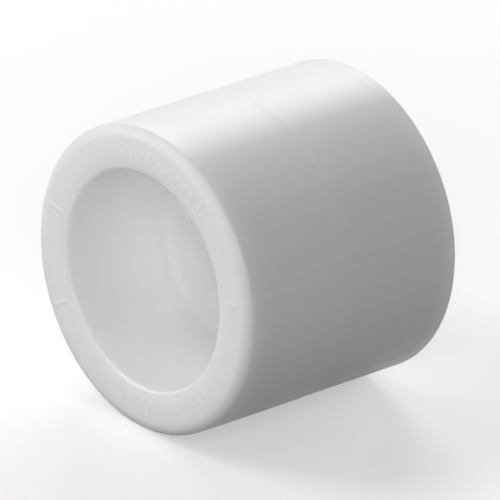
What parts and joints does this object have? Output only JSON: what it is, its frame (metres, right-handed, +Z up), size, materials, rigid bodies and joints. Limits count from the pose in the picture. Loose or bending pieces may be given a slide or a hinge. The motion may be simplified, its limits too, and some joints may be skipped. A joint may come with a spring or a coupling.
{
  "type": "pipe cap",
  "caption": "Round moulded plastic pipe cap: a thick cylindrical body, closed at one end, with a socket at the other for a pipe end fused in by heat.",
  "frame": {"origin": "under the middle of the cap, on the surface that it lies on", "axes": "The cap lies on its side, as in the picture. -Y runs along its axis, from the closed end out of the socket's mouth; +Z is up, through the middle of the first marking field on the rim"},
  "size_m": [0.0342, 0.0296, 0.0341],
  "materials": {
    "white_polypropylene": "satin-gloss moulded, slightly translucent"
  },
  "bodies": {
    "root": {"cap_body": "white_polypropylene"}
  },
  "joints": []
}
